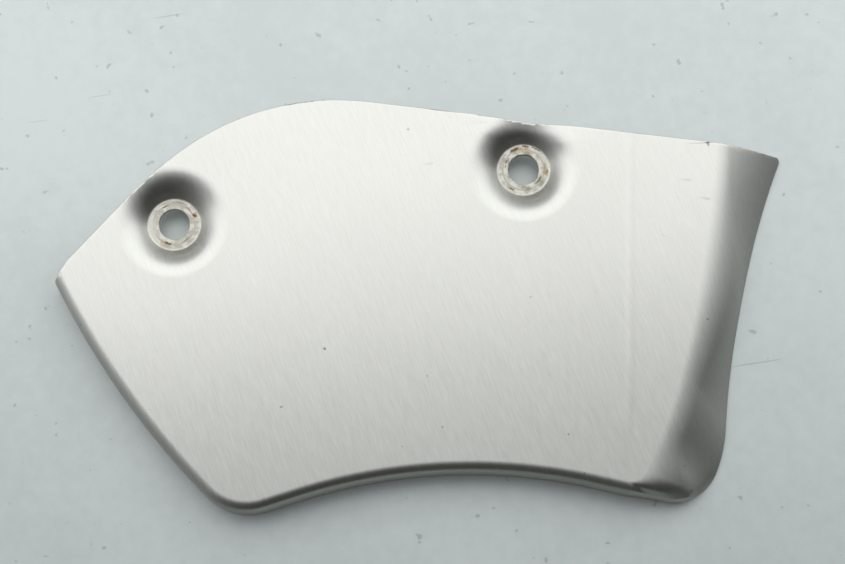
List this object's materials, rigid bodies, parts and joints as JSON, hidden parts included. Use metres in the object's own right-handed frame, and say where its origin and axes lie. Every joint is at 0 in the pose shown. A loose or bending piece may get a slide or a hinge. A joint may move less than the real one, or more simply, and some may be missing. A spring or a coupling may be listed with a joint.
{
  "type": "exhaust heat shield",
  "caption": "Pressed stainless heat shield: a shallow sheet tray with a flanged rim, a sloping wing and dished bolt seats near its raw edge.",
  "frame": {"origin": "midway between the two bolt holes, on the upper face of their seats", "axes": "+X along the line of the two bolt holes, towards the wing; +Z along the bolts' axis, up out of the outer face; the raw edge is on the +Y side"},
  "size_m": [0.2072, 0.1263, 0.011],
  "materials": {
    "stainless_sheet": "brushed, with light rust stains round the bolt seats"
  },
  "bodies": {
    "root": {"heat_shield": "stainless_sheet"}
  },
  "joints": []
}
